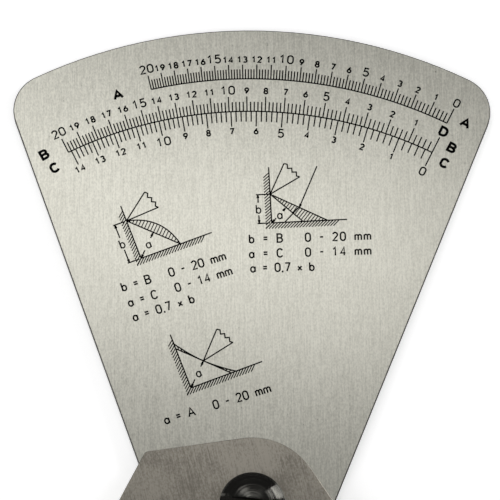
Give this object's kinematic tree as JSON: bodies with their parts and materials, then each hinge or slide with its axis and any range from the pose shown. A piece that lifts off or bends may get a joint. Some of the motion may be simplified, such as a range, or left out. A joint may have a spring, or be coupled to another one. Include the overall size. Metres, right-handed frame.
{
  "type": "fillet weld gauge",
  "caption": "Hand gauge for fillet welds: a fan-shaped scale plate with a measuring beak turns on a slotted screw under a base plate with a foot and a needle.",
  "frame": {"origin": "on the pivot axis, on the back of the scale plate", "axes": "+Z out of the scales' face, +Y from the pivot to the middle of the scales, +X to the right of the scales"},
  "size_m": [0.092, 0.1414, 0.0074],
  "materials": {
    "scale_steel": "brushed lengthways",
    "base_steel": "dark brushed",
    "dark_screw": "turned and blackened, glossy",
    "bush_steel": "turned",
    "washer_brass": "bronze sheet",
    "spring_steel": "dark spring steel"
  },
  "bodies": {
    "scale": {"scale_plate": "scale_steel", "pivot_screw": "dark_screw", "pivot_bush": "bush_steel", "friction_washer": "washer_brass", "disc_spring": "spring_steel"},
    "base": {"base_plate": "base_steel"}
  },
  "joints": [
    {"name": "base_pivot", "type": "hinge", "parent": "scale", "child": "base", "pos_m": [0, 0, 0.0028], "axis": [0, 0, 1], "continuous": true}
  ]
}
